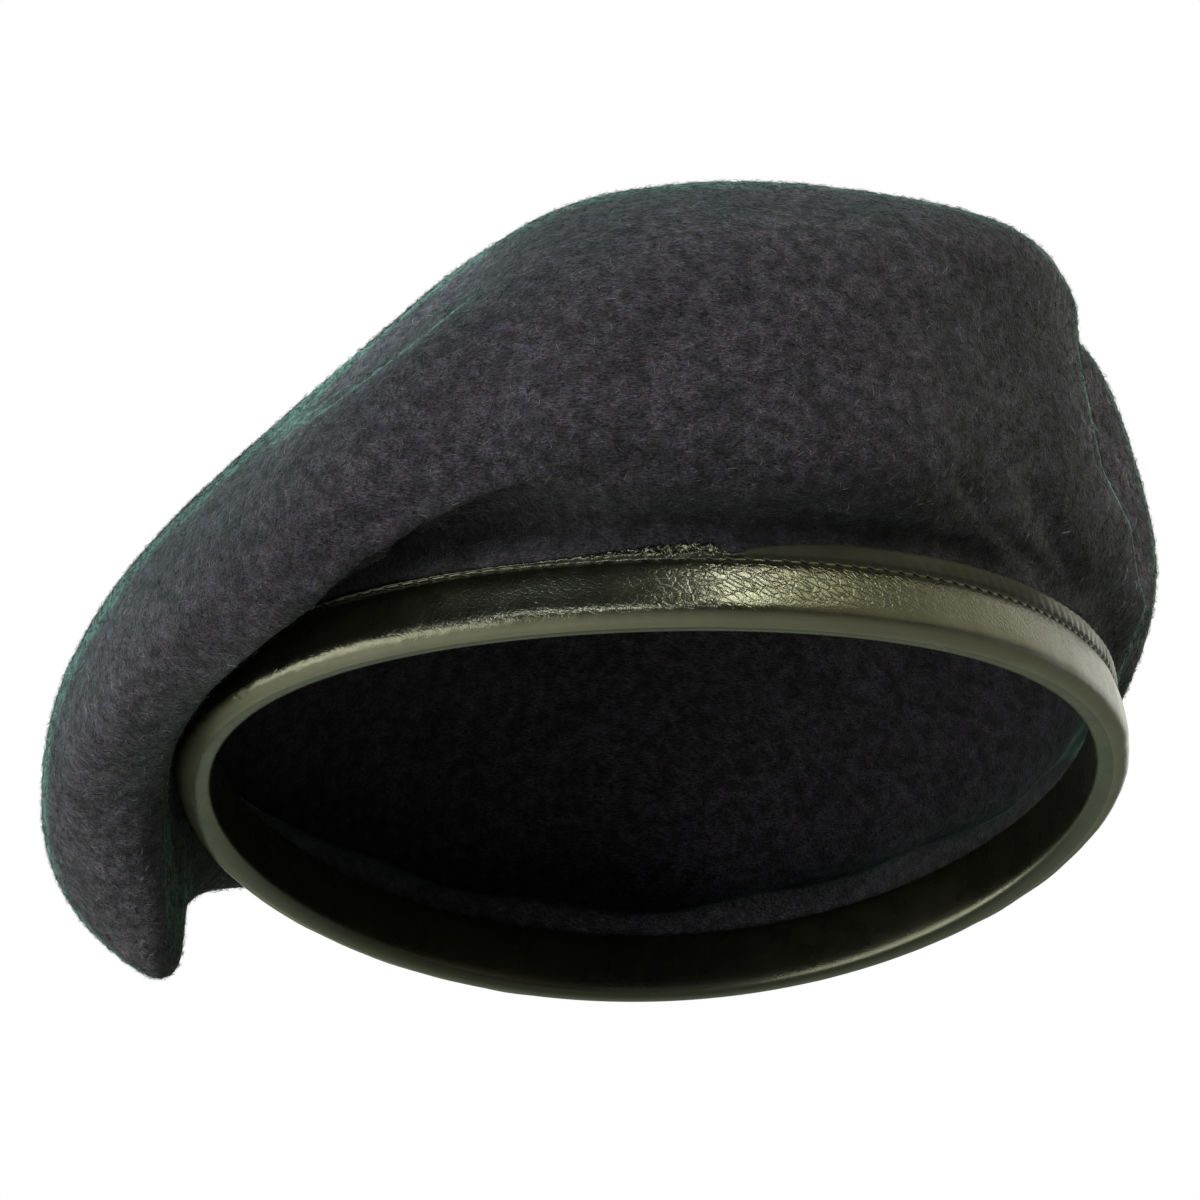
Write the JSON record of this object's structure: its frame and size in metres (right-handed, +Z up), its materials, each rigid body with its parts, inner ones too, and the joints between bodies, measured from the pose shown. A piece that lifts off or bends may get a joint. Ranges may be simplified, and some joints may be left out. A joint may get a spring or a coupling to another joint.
{
  "type": "military beret",
  "caption": "Soft felt military beret as worn, its crown pulled down over the wearer's right side, with a rolled leather binding round the open head hole.",
  "frame": {"origin": "middle of the head opening, level with the lower edge of the binding at the ears", "axes": "+Z up as the hat is worn, -Y towards the wearer's face, +X towards the wearer's left"},
  "size_m": [0.205, 0.2352, 0.1533],
  "materials": {
    "felt": "charcoal black felted wool with a short soft nap",
    "binding_leather": "black grained leather, satin with a soft shine, sewn with black thread"
  },
  "bodies": {
    "root": {"crown": "felt", "band": "binding_leather"}
  },
  "joints": []
}
